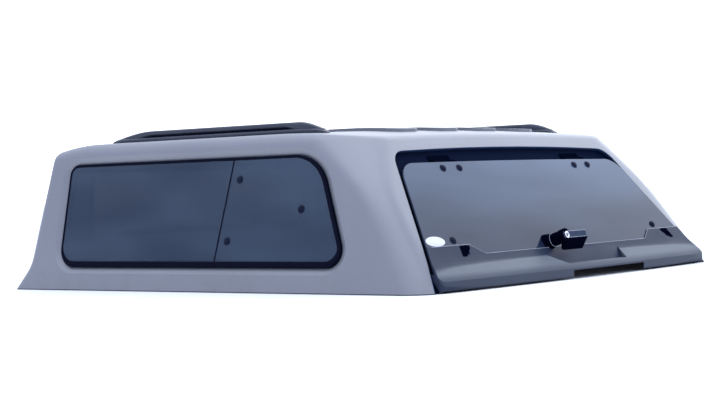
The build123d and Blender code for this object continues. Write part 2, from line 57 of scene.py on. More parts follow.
# %% Camera
WIDE, FOCAL, SENSOR = 718.0, 1750.24, 36.0
STOOD = (-4.6811, -3.6278, 0.316)
yaw, pitch, roll = (math.radians(angle) for angle in (51.814, -0.654, -1.947))
ahead = np.array([math.sin(yaw) * math.cos(pitch), math.cos(yaw) * math.cos(pitch), math.sin(pitch)])
level = np.array([math.cos(yaw), -math.sin(yaw), 0.0])
upright = np.cross(level, ahead)
side_axis = math.cos(roll) * level + math.sin(roll) * upright
top_axis = -math.sin(roll) * level + math.cos(roll) * upright

camera = bpy.data.objects.new("camera", bpy.data.cameras.new("camera"))
bpy.context.collection.objects.link(camera)
placing = np.eye(4)
placing[:3, 0], placing[:3, 1], placing[:3, 2], placing[:3, 3] = side_axis, top_axis, -ahead, STOOD
camera.matrix_world = Matrix(placing.tolist())
camera.data.sensor_width = SENSOR
camera.data.lens = SENSOR * FOCAL / WIDE
camera.data.clip_end = 60.0
bpy.context.scene.camera = camera
print("lens", round(camera.data.lens, 2), "mm")

# %% [markdown]
# Shader maths reads best as sums. `Value` wraps one output socket: adding or multiplying it puts a
# Math node into the tree and returns a new Value. `Nodes` adds any node from its type, its settings
# and what goes into its sockets. `Finish` is a material built that way, with its Principled shader.
# The same trees could be wired by hand in the editor, but there a formula is hard to read back.

# %% Shader helper
class Value:
    """A socket in a node tree. a + b, 1 - a and a * b each add a Math node."""

    def __init__(self, nodes, socket):
        self.nodes, self.socket = nodes, socket

    def _maths(self, operation, first, second=0.0):
        """One Math node between two sides, each a number or a Value."""
        return self.nodes.add("ShaderNodeMath", {"operation": operation}, {0: first, 1: second})

    def __add__(self, other):
        return self._maths("ADD", self, other)

    def __radd__(self, other):
        return self._maths("ADD", other, self)

    def __sub__(self, other):
        return self._maths("SUBTRACT", self, other)

    def __rsub__(self, other):
        return self._maths("SUBTRACT", other, self)

    def __mul__(self, other):
        return self._maths("MULTIPLY", self, other)

    def __rmul__(self, other):
        return self._maths("MULTIPLY", other, self)

    def __abs__(self):
        return self._maths("ABSOLUTE", self)

    def band(self, low, high):
        """0 below low, 1 above high and a smooth step between."""
        return self.nodes.add("ShaderNodeMapRange", {"interpolation_type": "SMOOTHSTEP"},
                              {"Value": self, "From Min": low, "From Max": high})


class Nodes:
    """A node tree and a method that adds one node."""

    def __init__(self, tree):
        self.tree = tree

    def _fill(self, socket, value):
        """Link a Value to a socket, or store a number, a colour or a vector in it."""
        if isinstance(value, Value):
            self.tree.links.new(value.socket, socket)
        elif isinstance(value, tuple) and len(value) == 3 and socket.type == "RGBA":
            socket.default_value = (*value, 1.0)
        else:
            socket.default_value = value

    def add(self, kind, settings=None, inputs=None, out=0):
        """Make one node: its settings first, then its inputs, and return one output."""
        node = self.tree.nodes.new(kind)
        for name, value in (settings or {}).items():
            setattr(node, name, value)
        for name, value in (inputs or {}).items():
            self._fill(node.inputs[name], value)
        return Value(self, node.outputs[out])

    def mix(self, amount, first, second):
        """A colour between first and second."""
        return self.add("ShaderNodeMix", {"data_type": "RGBA"}, {0: amount, 6: first, 7: second}, out=2)


class Finish(Nodes):
    """A material with its Principled shader."""

    def __init__(self, name, **fixed):
        self.material = bpy.data.materials.new(name)
        self.material.use_nodes = True
        super().__init__(self.material.node_tree)
        self.shader = self.tree.nodes["Principled BSDF"]
        self.set(**fixed)

    def set(self, **sockets):
        """Give sockets of the shader a number, a colour or a Value."""
        for name, value in sockets.items():
            self._fill(self.shader.inputs[name.replace("_", " ")], value)

    def place(self):
        """The point on the object, in metres."""
        return self.add("ShaderNodeTexCoord", out="Object")

    def axis(self, letter):
        """One coordinate of the point on the object."""
        return self.add("ShaderNodeSeparateXYZ", inputs={0: self.place()}, out=letter)

    def along(self, way, origin):
        """How far the point lies from origin along a way that has no X part: two products, added."""
        return (self.axis("Y") - origin[1]) * way[1] + (self.axis("Z") - origin[2]) * way[2]

    def noise(self, scale, detail=2.0, rough=0.5, stretch=(1.0, 1.0, 1.0)):
        """Cloudy noise, from about 0 to 1, with its grain about 1/scale metres wide."""
        place = self.add("ShaderNodeMapping", inputs={"Vector": self.place(), "Scale": stretch})
        return self.add("ShaderNodeTexNoise", inputs={"Vector": place, "Scale": scale,
                                                      "Detail": detail, "Roughness": rough})

    def pebbles(self, scale):
        """Rounded grains side by side, as on leather, about 1/scale metres wide."""
        return self.add("ShaderNodeTexVoronoi", {"feature": "SMOOTH_F1"},
                        {"Vector": self.place(), "Scale": scale})

    def bump(self, height, depth, under=None):
        """A normal tilted by a height, as if it stood depth metres tall."""
        inputs = {"Height": height, "Distance": depth, "Strength": 1.0}
        if under:
            inputs["Normal"] = under
        return self.add("ShaderNodeBump", inputs=inputs)


print("shader helper ready")

# %% [markdown]
# Light is a plain studio: a pale floor, a pale sky, and a soft box above. The sky is brighter
# overhead than at the horizon, so faces that look up read lighter than upright ones. One wide soft
# patch stands where the raked rear reflects it to the camera, and a low pale patch stands behind
# the canopy. A picture of a studio could light it too, but two masks are easier to move and widen.

# %% Floor
REACH = 30.0
corners = [(-REACH, -REACH, 0), (REACH, -REACH, 0), (REACH, REACH, 0), (-REACH, REACH, 0)]
mesh = bpy.data.meshes.new("floor")
mesh.from_pydata(corners, [], [(0, 1, 2, 3)])
floor = bpy.data.objects.new("floor", mesh)
bpy.context.collection.objects.link(floor)
floor.data.materials.append(Finish("pale_floor", Base_Color=(0.95, 0.95, 0.95), Roughness=0.9).material)
print("floor", 2 * REACH, "m wide")

# %% Sky
world = bpy.data.worlds.new("studio")
bpy.context.scene.world = world
world.use_nodes = True
sky = Nodes(world.node_tree)
toward = sky.add("ShaderNodeTexCoord", out="Generated")
height = sky.add("ShaderNodeSeparateXYZ", inputs={0: toward}, out="Z")


def facing(direction):
    """How nearly a spot of the sky lies in a direction: the cosine of the angle between them."""
    return sky.add("ShaderNodeVectorMath", {"operation": "DOT_PRODUCT"}, {0: toward, 1: direction},
                   out="Value")


dome = sky.mix(height.band(-0.05, 0.80), (0.53, 0.60, 0.77), (1.02, 1.13, 1.36))
wide_patch = facing((0.90, 0.10, 0.42)).band(0.72, 0.98)
dome = sky.mix(wide_patch, dome, (1.95, 2.08, 2.30))
low_patch = facing((0.79, 0.61, 0.0)).band(0.88, 0.95) * (1 - height.band(0.14, 0.30))
dome = sky.mix(low_patch, dome, (1.62, 1.66, 1.76))
background = world.node_tree.nodes["Background"]
world.node_tree.links.new(dome.socket, background.inputs["Color"])
background.inputs["Strength"].default_value = 1.04
print("sky of", len(world.node_tree.nodes), "nodes")


# %% Soft box
def soft_box(name, place, aim, size, power):
    """A square area light at place, turned to face aim."""
    lamp = bpy.data.objects.new(name, bpy.data.lights.new(name, "AREA"))
    lamp.data.size, lamp.data.energy = size, power
    bpy.context.collection.objects.link(lamp)
    lamp.location = place
    away = np.array(place) - np.array(aim)
    lamp.rotation_euler = (math.atan2(math.hypot(away[0], away[1]), away[2]), 0,
                           math.atan2(away[0], -away[1]))
    print(name, power, "W")


soft_box("box_above", (-0.8, -0.6, 4.6), (0, 0, 0.3), 4.8, 75)
bpy.context.scene.view_settings.view_transform = "Standard"

# %% [markdown]
# Some finishes change at a given depth or height, and many pieces lie on the raked rear. Both need
# the plane that the door lies on: it rises from REAR and leans forward by RAKE. A tilted empty
# could hold that plane, but three vectors do the same and can be used in any formula.

# %% Raked rear
RAKE = math.radians(35.0)
REAR = -0.835
REAR_FOOT = np.array([0.0, REAR, 0.0])
GLASS_THICK = 0.005
ACROSS = [1.0, 0.0, 0.0]
GLASS_OUT = np.array([0.0, -math.cos(RAKE), math.sin(RAKE)])
GLASS_UP = np.array([0.0, math.sin(RAKE), math.cos(RAKE)])


def on_glass(across, up, out):
    """Points given across, up and out from the outer face of the door's glass: their sum."""
    return (REAR_FOOT + np.multiply.outer(across, ACROSS) + np.multiply.outer(up, GLASS_UP)
            + np.multiply.outer(out + GLASS_THICK, GLASS_OUT))


print("rear rakes", round(math.degrees(RAKE), 1), "degrees")

# %% [markdown]
# The body is fibreglass with a metallic grey-lilac coat. On the real thing three things show up
# close: a fine sparkle from the flakes, a very slight waviness from the mould ("orange peel"), and
# a film of dust that gathers low down on the skirt. The step that the door shuts into gets painted
# shade: dark blue to nearly black, darker the deeper it lies, and a dark mirror. It could be a
# material of its own, but the shell is one mesh that is left alone. So the step is found from its
# depth under the rear plane and the opening's width, which shrinks up the rake. A dark line is
# painted along the bottom few millimetres of the base as well.

# %% Body paint
OPENING_HALF, OPENING_TAPER = 0.797, 0.188 / 0.491
OPENING_TOP = 0.5065
FINISHES = {}


def body_paint():
    """Paint mixed with flakes and dust, a dark line at the base, then painted shade on the step: inside
    the opening and deep.
    """
    paint = Finish("body_paint", Coat_Roughness=0.32, IOR=1.5)
    flake = paint.noise(900.0, 1.0)
    cloud = paint.noise(2.2, 3.0)
    low = 1 - paint.axis("Z").band(0.0, 0.11)
    dust = low * paint.noise(14.0, 5.0, 0.65).band(0.35, 0.75)
    # A dark line painted along the bottom 2.4 to 4 mm of the base, where the shell meets the floor.
    under = 1 - paint.axis("Z").band(0.0024, 0.0040)
    tone = paint.mix(cloud.band(0.3, 0.7), (0.194, 0.205, 0.248), (0.212, 0.223, 0.268))
    tone = paint.mix(flake.band(0.45, 0.75) * 0.25, tone, (0.32, 0.33, 0.40))
    tone = paint.mix(dust * 0.20, tone, (0.29, 0.28, 0.28))
    tone = paint.mix(under, tone, (0.012, 0.016, 0.040))

    # Painted shade on the step that the door shuts into: dark blue that darkens with depth, made a near
    # mirror (Metallic up to 0.95) so that it reflects dark, rougher and without coat.
    deep, raised = paint.along(-GLASS_OUT, REAR_FOOT), paint.along(GLASS_UP, REAR_FOOT)
    half = OPENING_HALF - raised * OPENING_TAPER
    step = deep.band(0.0010, 0.0022) * (1 - deep.band(0.026, 0.028))
    step = step * (1 - (abs(paint.axis("X")) - half).band(0.001, 0.003))
    step = step * (1 - raised.band(OPENING_TOP - 0.001, OPENING_TOP + 0.001))
    shade = paint.mix(deep.band(0.004, 0.014), (0.040, 0.085, 0.210), (0.004, 0.014, 0.052))

    paint.set(Base_Color=paint.mix(step, tone, shade))
    paint.set(Metallic=0.30 + 0.65 * step)
    paint.set(Roughness=0.42 + 0.08 * flake + 0.25 * dust + 0.55 * step)
    paint.set(Coat_Weight=(0.60 - 0.45 * dust) * (1 - step))
    wave = paint.bump(paint.noise(45.0, 2.0), 0.00018)
    paint.set(Normal=paint.bump(flake, 0.00001, wave))
    return paint.material


FINISHES["body_paint"] = body_paint()
print("body paint has", len(FINISHES["body_paint"].node_tree.nodes), "nodes")

# %% [markdown]
# Tinted glass is nearly black by itself and mostly a mirror. The side panes are bluer and darker
# than the rear one. A faint film of dried rain lies on both in long level streaks. On the rear
# glass a paler tone grows towards the top and towards +X: a painted reflection of the bright sky.
# Transmission would be truer to real glass, but it is slow to render clean, so Alpha lets a hint of
# the inside through.

# %% Tinted glass
def tinted_glass(name, tint, film_and_sheen_tint, seen, painted_top_sheen):
    """Tint mixed with film and sheen: stretched noise for the film, plus on the rear a painted sky
    reflection that grows with height and towards +X.
    """
    glass = Finish(name, Specular_IOR_Level=0.20 if painted_top_sheen else 0.42)
    streaks = glass.noise(2.6, 2.0, 0.45, (0.7, 0.7, 3.2))
    film_and_sheen = 0.55 * streaks.band(0.25, 0.75) + 0.10 * glass.noise(9.0, 3.0, 0.5, (0.5, 0.5, 2.0))
    if painted_top_sheen:
        # Painted reflection of the bright sky: paler towards the top and towards +X.
        rise = glass.axis("Z").band(0.09, 0.40)
        film_and_sheen = 0.40 * film_and_sheen + 0.85 * rise * (0.72 + 0.28 * glass.axis("X").band(-0.7, 0.7))
    glass.set(Base_Color=glass.mix(film_and_sheen, tint, film_and_sheen_tint))
    glass.set(Roughness=0.06 + 0.07 * film_and_sheen)
    glass.set(Alpha=seen + (1 - seen) * film_and_sheen)
    return glass.material


FINISHES["side_glass"] = tinted_glass("side_glass", (0.018, 0.036, 0.076), (0.050, 0.078, 0.130),
                                      0.66, False)
FINISHES["rear_glass"] = tinted_glass("rear_glass", (0.005, 0.012, 0.036), (0.094, 0.132, 0.210),
                                      0.95, True)
print("two glasses")

# %% [markdown]
# Rubber is dull and nearly black, worn paler in patches. Moulded plastic has a leather-like grain
# from its mould, and a haze where it is rubbed or weathered. A painted image could hold both, but
# noise and rounded cells at the right scale stay sharp at any distance. The rails' coat, the pale
# plastic of the painted edge highlights and the label are the same plastic with other colours and
# a finer grain.

# %% Rubber and moulded plastic
def rubber():
    """Black mixed with a worn grey by patches of noise, over a fine grain."""
    seal = Finish("rubber", Specular_IOR_Level=0.05)
    grain = seal.noise(700.0, 3.0)
    worn = seal.noise(22.0, 4.0, 0.7).band(0.55, 0.8)
    seal.set(Base_Color=seal.mix(worn * 0.4, (0.002, 0.003, 0.012), (0.008, 0.010, 0.024)))
    seal.set(Roughness=0.62 + 0.2 * grain)
    seal.set(Normal=seal.bump(grain, 0.00006))
    return seal.material


def moulded(name, colour, pale, rough, grain_size, depth, shine):
    """A colour mixed with a paler one by haze, rougher on the haze and on the grain."""
    plastic = Finish(name, Specular_IOR_Level=shine)
    grain = plastic.pebbles(grain_size)
    haze = plastic.noise(6.0, 4.0, 0.6).band(0.38, 0.72)
    plastic.set(Base_Color=plastic.mix(haze, colour, pale))
    plastic.set(Roughness=rough + 0.10 * haze + 0.06 * grain)
    plastic.set(Normal=plastic.bump(grain, depth))
    return plastic.material


# Colour, paler colour, roughness, grains in a metre, depth of the grain, and shine.
PLASTICS = {
    "black_plastic": ((0.008, 0.011, 0.028), (0.016, 0.021, 0.046), 0.30, 900.0, 0.00003, 0.05),
    "hinge_black": ((0.001, 0.002, 0.008), (0.002, 0.004, 0.012), 0.60, 700.0, 0.00003, 0.0),
    "rail_coat": ((0.024, 0.031, 0.058), (0.040, 0.048, 0.078), 0.28, 1200.0, 0.00003, 0.6),
    # A pale plastic for thin beads that are painted highlights along edges.
    "edge_highlight": ((0.26, 0.29, 0.38), (0.32, 0.35, 0.45), 0.35, 900.0, 0.00002, 0.45),
    "label_white": ((0.78, 0.80, 0.84), (0.72, 0.74, 0.78), 0.5, 900.0, 0.00001, 0.45),
}
FINISHES["rubber"] = rubber()
FINISHES |= {name: moulded(name, *look) for name, look in PLASTICS.items()}
print("rubber and", len(PLASTICS), "plastics")

# %% [markdown]
# The lever is black plastic too, but on the front face, which a hand pulls, a pale bluish tone is
# painted: a painted reflection of the sky. A second material on a few faces would end in a hard
# line. So a mask is worked out in the handle's own directions: its axis leaves the glass at HANDLE
# and tilts up by TILT.

# %% Lever plastic
TILT = math.radians(19.0)
HANDLE = on_glass(-0.112, 0.108 / math.cos(RAKE), 0.0)
HANDLE_OUT = np.array([0.0, -math.cos(TILT), math.sin(TILT)])
HANDLE_UP = np.array([0.0, math.sin(TILT), math.cos(TILT)])


def lever_plastic():
    """Black mixed with a painted reflection where a point is far out, and near the middle in height."""
    lever = Finish("lever_black", Specular_IOR_Level=0.0)
    up, out = lever.along(HANDLE_UP, HANDLE), lever.along(HANDLE_OUT, HANDLE)
    # Painted reflection of the sky on the lever's front face, broken up by noise.
    painted_face_sheen = out.band(0.0745, 0.0753) * (1 - abs(up).band(0.0096, 0.0108))
    painted_face_sheen = painted_face_sheen * (0.55 + 0.45 * lever.noise(30.0, 3.0))
    lever.set(Base_Color=lever.mix(painted_face_sheen, (0.0015, 0.002, 0.008), (0.060, 0.078, 0.125)))
    lever.set(Roughness=0.36 + 0.20 * painted_face_sheen)
    lever.set(Normal=lever.bump(lever.noise(900.0, 1.0), 0.00002))
    return lever.material


FINISHES["lever_black"] = lever_plastic()
print("handle leaves the glass at", HANDLE.round(3))

# %% [markdown]
# The charcoal lip under the glass shows three tones: painted shade close to the glass, a middle
# grey, and a painted sheen of the sky on its ledge. Its parts are one moulding, so the tones blend
# by distance from the glass and by height, and not along the edges of faces.

# %% Lip plastic
def lip_plastic():
    """Grey mixed with a painted sheen on the ledge between two heights, then with painted shade within 15
    mm of the rear plane.
    """
    lip = Finish("lip_plastic", Specular_IOR_Level=0.18)
    grain = lip.pebbles(520.0)
    haze = lip.noise(5.0, 3.0, 0.55).band(0.30, 0.75)
    # Painted shade within about 15 mm of the rear plane.
    near = 1 - lip.along(GLASS_OUT, REAR_FOOT).band(0.0105, 0.0150)
    # Painted sheen on the ledge, away from the glass.
    painted_ledge_sheen = lip.axis("Z").band(0.034, 0.056) * (1 - near)
    tone = lip.mix(haze, (0.043, 0.054, 0.084), (0.054, 0.067, 0.100))
    tone = lip.mix(painted_ledge_sheen * (0.75 + 0.25 * haze), tone, (0.150, 0.172, 0.205))
    tone = lip.mix(near, tone, (0.020, 0.030, 0.060))
    lip.set(Base_Color=tone)
    lip.set(Roughness=0.44 + 0.10 * haze + 0.06 * grain)
    lip.set(Normal=lip.bump(grain, 0.00010))
    return lip.material


FINISHES["lip_plastic"] = lip_plastic()
print("lip plastic has", len(FINISHES["lip_plastic"].node_tree.nodes), "nodes")

# %% [markdown]
# The handle's spindle is plain steel and the key disc is chrome. A metal's colour is its mirror
# colour, so both are the same formula: Metallic at 1, fine grain in the roughness, and a few dull
# spots. One plain colour would look like plastic, because nothing would break up the reflection.

# %% Metals
def metal(name, colour, rough):
    """A colour mixed with dull spots of noise, rougher on the spots and on the grain."""
    bare = Finish(name, Metallic=1.0)
    grain = bare.noise(260.0, 3.0, 0.6)
    spots = bare.noise(60.0, 4.0, 0.7).band(0.6, 0.85)
    bare.set(Base_Color=bare.mix(spots * 0.4, colour, (0.30, 0.28, 0.27)))
    bare.set(Roughness=rough + 0.10 * grain + 0.25 * spots)
    bare.set(Normal=bare.bump(grain, 0.00002))
    return bare.material


FINISHES["steel"] = metal("steel", (0.46, 0.47, 0.50), 0.30)
FINISHES["chrome"] = metal("chrome", (0.80, 0.81, 0.84), 0.08)
print(len(FINISHES), "finishes")

# %% [markdown]
# Each solid of the frame gets one finish. Its mesh stays as it came: only its material changes.
# Assigning by name in one table shows at a glance what is made of what, where clicking through
# 32 objects wouldn't. Solids that a finer piece stands for are listed too, so none is left bare.

# %% Finishes on the solids
GIVEN = {
    "shell": "body_paint", "base_seal": "rubber", "front_gasket": "rubber", "front_glass": "side_glass",
    "door_seal": "rubber", "door_glass": "rear_glass", "door_lip": "lip_plastic",
    "door_caps": "black_plastic", "handle_base": "lever_black", "lock_case": "black_plastic",
    "handle_barrel": "lever_black", "handle_grip": "lever_black", "handle_key": "chrome",
    "handle_spindle": "steel",
}
for hand in ("left", "right"):
    GIVEN |= {f"{hand}_gasket": "rubber", f"{hand}_front_pane": "side_glass",
              f"{hand}_rear_pane": "side_glass", f"{hand}_pane_divider": "rubber",
              f"{hand}_pane_caps": "black_plastic", f"{hand}_rail_strip": "rail_coat",
              f"{hand}_rail_bar": "rail_coat", f"{hand}_hinge_base": "hinge_black",
              f"{hand}_hinge_strap": "hinge_black"}
for node, finish in GIVEN.items():
    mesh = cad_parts[node].data
    mesh.materials.clear()
    mesh.materials.append(FINISHES[finish])
print(len(GIVEN), "solids finished of", len(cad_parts))

# %% [markdown]
# The solids arrive with a seam of doubled points along every face of the model. Welding them by
# hand would change the mesh, which stays as it is. So a small node group joins those points and
# reads the angle across each edge: a shallow one is shaded smooth and a steep one stays crisp. On
# the lip and the handle's base a narrow bevel then rounds the crisp edges, so they catch light.

# %% Softer shading
JOIN_WITHIN, CRISP_ABOVE, BEVEL_ABOVE = 0.00002, math.radians(24.0), math.radians(40.0)
EDGE_ROUNDS = {"shell": 0.0, "door_lip": 0.0012, "handle_base": 0.0008}

group = bpy.data.node_groups.new("soft_shading", "GeometryNodeTree")
for way in ("INPUT", "OUTPUT"):
    group.interface.new_socket("Geometry", in_out=way, socket_type="NodeSocketGeometry")
shading = Nodes(group)
came = shading.add("NodeGroupInput")
joined = shading.add("GeometryNodeMergeByDistance", inputs={"Geometry": came, "Distance": JOIN_WITHIN})
steep = shading.add("FunctionNodeCompare", {"data_type": "FLOAT", "operation": "GREATER_THAN"},
                    {0: shading.add("GeometryNodeInputMeshEdgeAngle"), 1: CRISP_ABOVE})
shaded = shading.add("GeometryNodeSetMeshNormal", {"mode": "SHARPNESS"},
                     {"Mesh": joined, "Remove Custom": True, "Edge Sharpness": steep})
group.links.new(shaded.socket, group.nodes.new("NodeGroupOutput").inputs[0])

for node, width in EDGE_ROUNDS.items():
    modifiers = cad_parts[node].modifiers
    modifiers.new("soft_shading", "NODES").node_group = group
    if width:
        bevel = modifiers.new("rounded_edges", "BEVEL")
        bevel.width, bevel.segments, bevel.limit_method = width, 2, "ANGLE"
        bevel.angle_limit = BEVEL_ABOVE
        bevel.use_clamp_overlap = True
print("soft shading on", len(EDGE_ROUNDS), "solids")

# %% [markdown]
# New pieces are grids of points: a function of two parameters worked out for the whole grid at
# once. They could be pushed and pulled from a cylinder, but a formula keeps a size exact. `skin`
# joins a grid with four-sided faces, closes it round where asked, and closes the ends with a fan
# to a middle point. `piece` gathers a few skins into one object that rides on a body.

# %% From a grid to a mesh
def skin(points, round_u=False, caps=False):
    """Points, quads and fans over an m by n grid, closed in v and facing outwards if v runs
    anticlockwise about u. A quad joins row i with row i + 1 and column j with column j + 1."""
    m, n = points.shape[:2]
    grid = np.pad(np.arange(m * n).reshape(m, n), ((0, int(round_u)), (0, 1)), mode="wrap")
    quads = np.stack([grid[:-1, :-1], grid[:-1, 1:], grid[1:, 1:], grid[1:, :-1]], -1).reshape(-1, 4)
    spots, fans = points.reshape(-1, 3), np.empty((0, 3), dtype=int)
    if caps:
        first = np.stack([np.full(n, m * n), grid[0, 1:], grid[0, :-1]], -1)
        last = np.stack([np.full(n, m * n + 1), grid[-1, :-1], grid[-1, 1:]], -1)
        spots = np.vstack([spots, points[0].mean(0), points[-1].mean(0)])
        fans = np.vstack([first, last])
    return spots, quads, fans


def piece(name, skins, body, finish, replaced=()):
    """Join skins into one object: each one's faces count on from the points before it."""
    starts = np.cumsum([0] + [len(spots) for spots, _, _ in skins])
    faces = []
    for (_, quads, fans), start in zip(skins, starts):
        faces += (quads + start).tolist() + (fans + start).tolist()
    mesh = bpy.data.meshes.new(name)
    mesh.from_pydata(np.vstack([spots for spots, _, _ in skins]).tolist(), [], faces)
    mesh.polygons.foreach_set("use_smooth", np.ones(len(faces), dtype=bool))
    mesh.update()
    mesh.materials.append(FINISHES[finish])
    made = bpy.data.objects.new(name, mesh)
    bpy.context.collection.objects.link(made)
    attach(made, body)
    if replaced:
        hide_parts(*replaced)
    print(name, len(faces), "faces")


# %% [markdown]
# Many of these pieces are turned: a cap, a barrel, a ring. Blender's Spin or Screw could turn them,
# but both leave a seam to weld. `round_about` turns a profile as one array, and a closed skin over
# it has no seam. `points_of` reads a solid, so that a new piece takes its place from the frame.

# %% Points and turned pieces
def points_of(node):
    """All the vertices of a solid as one array."""
    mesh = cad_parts[node].data
    flat = np.empty(3 * len(mesh.vertices))
    mesh.vertices.foreach_get("co", flat)
    return flat.reshape(-1, 3)


def round_about(centre, outward, profile, count=40):
    """A profile of (radius, height): centre + radius * (cosine and sine of the turn) + height."""
    profile = np.array(profile)
    start = np.cross(outward, [0.3, 0.5, 0.8])
    start /= np.linalg.norm(start)
    other = np.cross(outward, start)
    turn = np.linspace(0, 2 * math.pi, count, endpoint=False)
    ring = np.cos(turn)[:, None] * start + np.sin(turn)[:, None] * other
    return centre + profile[:, :1, None] * ring + profile[:, 1:, None] * outward


# %% [markdown]
# The screw caps that hold the glass are small domes with a flat washer under them. A dome is a
# profile turned about its axis: a short straight rim, then a quarter of an ellipse. A squashed
# sphere would have no rim, and the rim's dark line is what makes a cap look screwed on.

# %% Caps
LEAN = math.radians(12.4)
SIDE_OUT = {"left": np.array([-math.cos(LEAN), 0.0, math.sin(LEAN)]),
            "right": np.array([math.cos(LEAN), 0.0, math.sin(LEAN)])}
CAP_APART, CAP_TALLER = 0.03, 1.5


def islands(node):
    """The points of each separate cap of a node: those near the first point that is left."""
    rest = points_of(node)
    found = []
    while len(rest):
        near = np.linalg.norm(rest - rest[0], axis=1) < CAP_APART
        found.append(rest[near])
        rest = rest[~near]
    return found


def cap_profile(radius, height):
    """A thin washer, a step in, a low wall, then a quarter ellipse up to the top."""
    arc = np.linspace(0, math.pi / 2, 9)[:-1]
    dome = np.stack([0.80 * radius * np.cos(arc), height * (0.42 + 0.58 * np.sin(arc))], -1)
    washer = [(radius, 0.0), (radius, 0.16 * height), (0.93 * radius, 0.22 * height),
              (0.80 * radius, 0.22 * height)]
    return washer + dome.tolist() + [(1e-5, height)]


def caps(node, outward, name, body):
    """Domes in place of every cap of a node, from the widest reach and the height of its points."""
    made = []
    for spots in islands(node):
        high = spots @ outward
        centre = spots.mean(0) + (high.min() - spots.mean(0) @ outward) * outward
        radius = np.linalg.norm(spots - centre - np.outer(high - high.min(), outward), axis=1).max()
        profile = cap_profile(radius, CAP_TALLER * np.ptp(high))
        made.append(skin(round_about(centre, outward, profile), caps=True))
    piece(name, made, body, "black_plastic", [node])


for hand in ("left", "right"):
    caps(f"{hand}_pane_caps", SIDE_OUT[hand], f"{hand}_pane_screw_caps", "canopy")
caps("door_caps", GLASS_OUT, "door_screw_caps", "door")

# %% [markdown]
# Each roof rail is one aluminium extrusion with its ends pressed down to the roof. Along its length
# the top line rises, runs level and falls; the underside lifts clear of the strip in the middle.
# A curve with a bevel could carry one section along, but not change its height. So both lines are
# smooth steps, and the section between them is a rounded rectangle.

# %% Section and stations
def smooth(t):
    """An S curve from 0 to 1: three squares less two cubes."""
    t = np.clip(t, 0, 1)
    return t * t * (3 - 2 * t)


def rounded_section(count, square_across, square_up):
    """A closed curve between an ellipse and a rectangle: signed powers of cosine and sine."""
    turn = np.linspace(0, 2 * math.pi, count, endpoint=False)
    across = np.sign(np.cos(turn)) * np.abs(np.cos(turn)) ** square_across
    return across, np.sign(np.sin(turn)) * np.abs(np.sin(turn)) ** square_up


def stations(ends, reaches, middle, counts, power):
    """Places along a run: even in the middle, and towards each end crowded by a power of the share."""
    tail = ends[0] + reaches[0] * np.linspace(0, 1, counts[0]) ** power
    nose = ends[1] - reaches[1] * np.linspace(1, 0, counts[2]) ** power
    return np.concatenate([tail, np.linspace(*middle, counts[1]), nose])


def bar_along(box, y, bottom, top, half):
    """A bar along Y: middle + half size * section, in X and in Z, for every y."""
    across, upward = rounded_section(32, 0.55, 0.70)
    x = (box[0][0] + box[1][0]) / 2 + half[:, None] * across
    z = ((top + bottom) / 2)[:, None] + ((top - bottom) / 2)[:, None] * upward
    points = np.stack([x, np.broadcast_to(y[:, None], x.shape), z], -1)
    return skin(points[:, ::-1], caps=True)


def corners_of(node):
    """The lowest and the highest corner of a solid."""
    return [np.array(corner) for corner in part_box(node)]


print("a bar has", len(rounded_section(32, 0.55, 0.70)[0]), "points round")

# %% Rail bars
RAIL_TIP, RAIL_THICK, RAIL_SINK = 0.016, 0.0165, 0.006
RISE_REAR, RISE_NOSE = 0.095, 0.165
LIFT_REAR, LIFT_NOSE = (0.085, 0.06), (0.075, 0.10)
NARROW, WIDEN_REAR, WIDEN_NOSE = 0.75, 0.08, 0.12


def rail(hand):
    """The bar: its top, underside and width go from one value to another by smooth steps."""
    low, high = box = corners_of(f"{hand}_rail_bar")
    strip_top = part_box(f"{hand}_rail_strip")[1][2]
    tip = high[1] - RAIL_TIP
    y = stations((low[1] + 0.001, tip - 0.001), (0.16, 0.21), (low[1] + 0.17, tip - 0.22),
                 (30, 24, 34), 1.4)
    rear, nose = y - low[1], tip - y
    rise = np.minimum(smooth(0.5 + 0.5 * rear / RISE_REAR), smooth(0.5 + 0.5 * nose / RISE_NOSE))
    rise = rise * 2 - 1
    top = strip_top - 0.004 + (high[2] - strip_top + 0.004) * rise
    lift = (smooth((rear - LIFT_REAR[0]) / LIFT_REAR[1])
            * smooth((nose - LIFT_NOSE[0]) / LIFT_NOSE[1]))
    bottom = low[2] - RAIL_SINK + (high[2] - RAIL_THICK - low[2] + RAIL_SINK) * lift
    widen = smooth(rear / WIDEN_REAR) * smooth(nose / WIDEN_NOSE)
    half = (high[0] - low[0]) / 2 * (NARROW + (1 - NARROW) * widen)
    bar = bar_along(box, y, bottom, np.maximum(top, bottom + 0.003), half)
    piece(f"{hand}_roof_rail", [bar], "canopy", "rail_coat", [f"{hand}_rail_bar"])


def filler(hand):
    """A black rubber cord in the slot under the bar, so that the slot reads dark: one section all along,
    on the strip.
    """
    low, high = box = corners_of(f"{hand}_rail_bar")
    y = np.linspace(low[1] + 0.06, high[1] - RAIL_TIP - 0.05, 40)
    flat = np.full(len(y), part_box(f"{hand}_rail_strip")[1][2])
    cord = bar_along(box, y, flat - 0.002, flat + 0.006, np.full(len(y), 0.009))
    piece(f"{hand}_rail_cord", [cord], "canopy", "rubber")


print("rail bars are", round(np.ptp([corner[1] for corner in corners_of("left_rail_bar")]), 3), "m long")

# %% Strips under the rails
STRIP_THICK, STRIP_TIP, STRIP_NARROW, STRIP_DIP = 0.0168, 0.017, 0.35, 0.0128
ROUND_REAR, ROUND_NOSE = 0.035, 0.05
LEVEL_REAR, LEVEL_FRONT, DROOP_REAR, DROOP_FRONT = -0.220, 0.555, 4.0, 1.6


